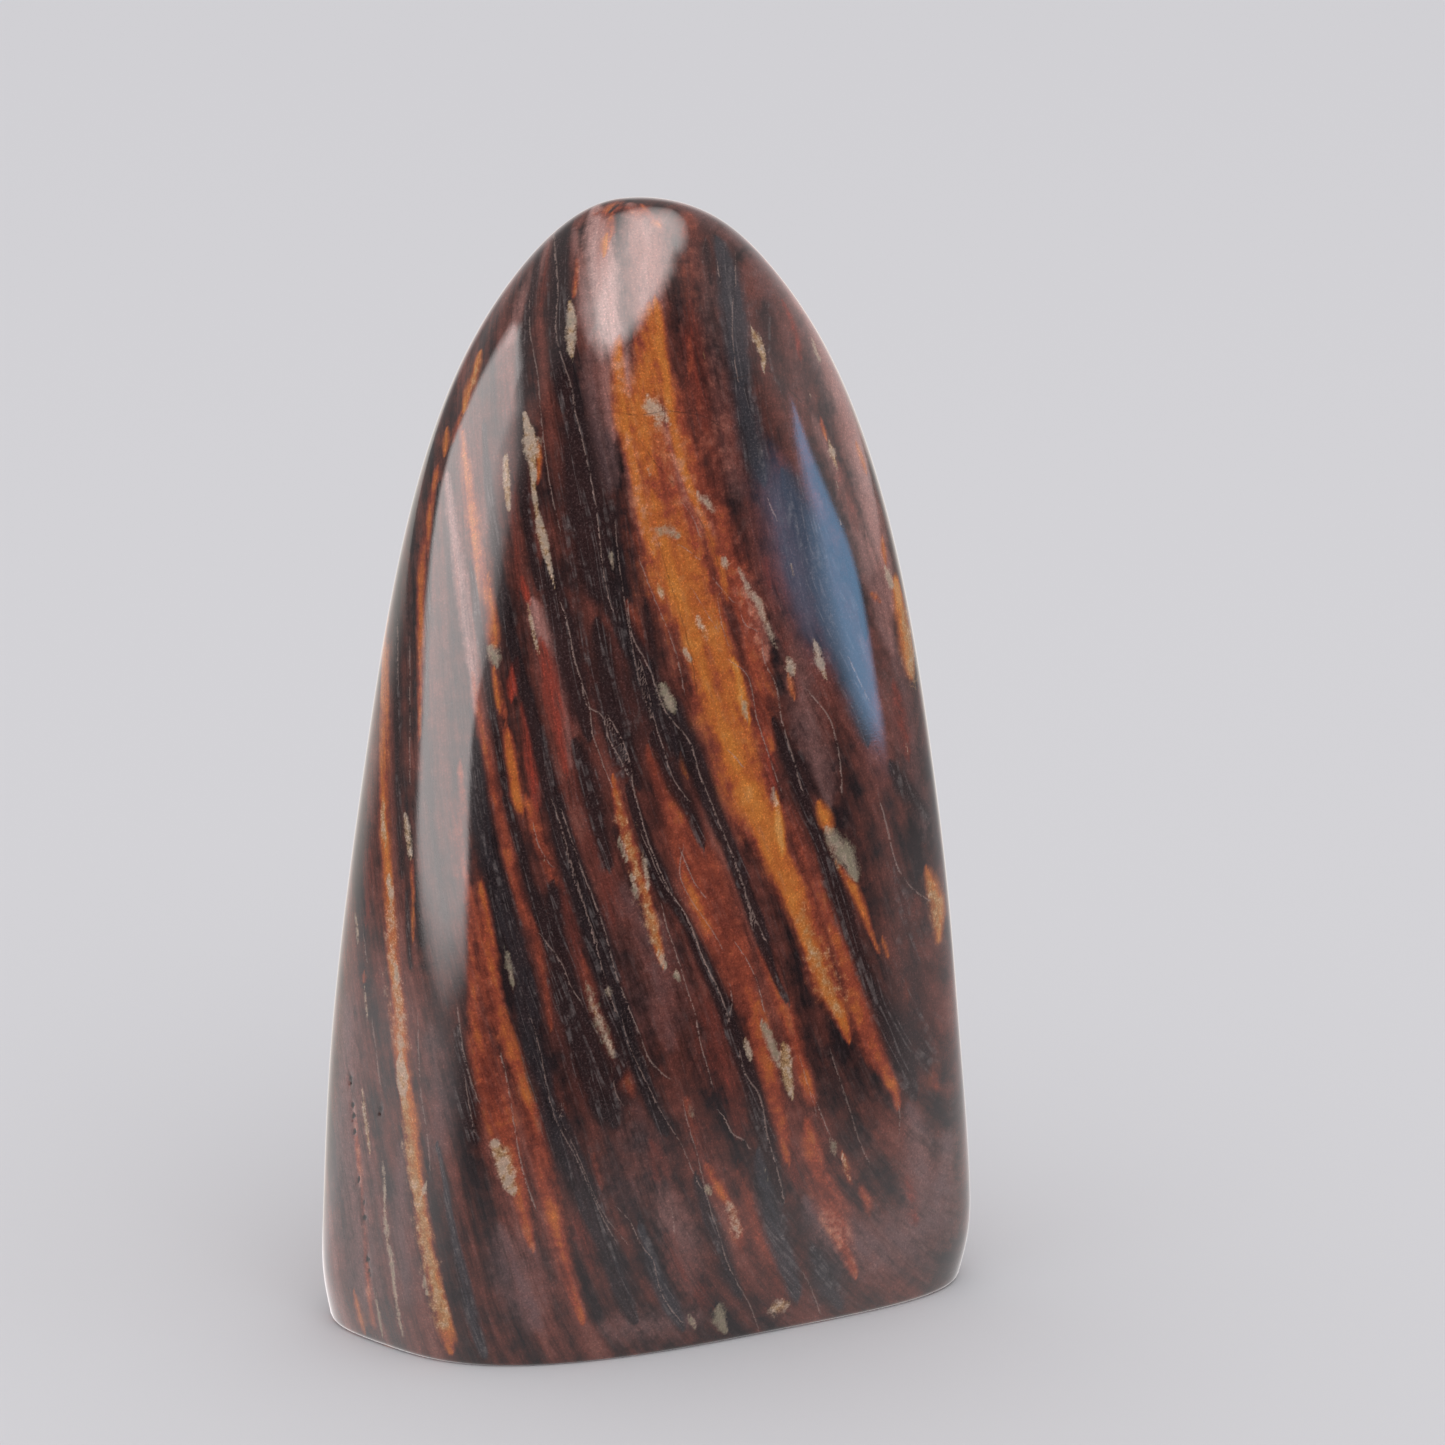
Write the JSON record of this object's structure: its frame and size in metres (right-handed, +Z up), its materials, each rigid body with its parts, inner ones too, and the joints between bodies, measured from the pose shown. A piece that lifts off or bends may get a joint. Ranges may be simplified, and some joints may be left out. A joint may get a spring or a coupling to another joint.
{
  "type": "polished jasper freeform stone",
  "caption": "Freestanding polished banded jasper with a blunt rounded top, a broad front and a flat cut base.",
  "frame": {"origin": "on the flat cut base, at the centre of the stone's box seen from above", "axes": "+Z up from the base to the blunt top; the broad front faces -Y; X runs along the front, with the narrower, rounder flank at -X"},
  "size_m": [0.0622, 0.0388, 0.11],
  "materials": {
    "jasper": "polished"
  },
  "bodies": {
    "root": {"jasper": "jasper"}
  },
  "joints": []
}
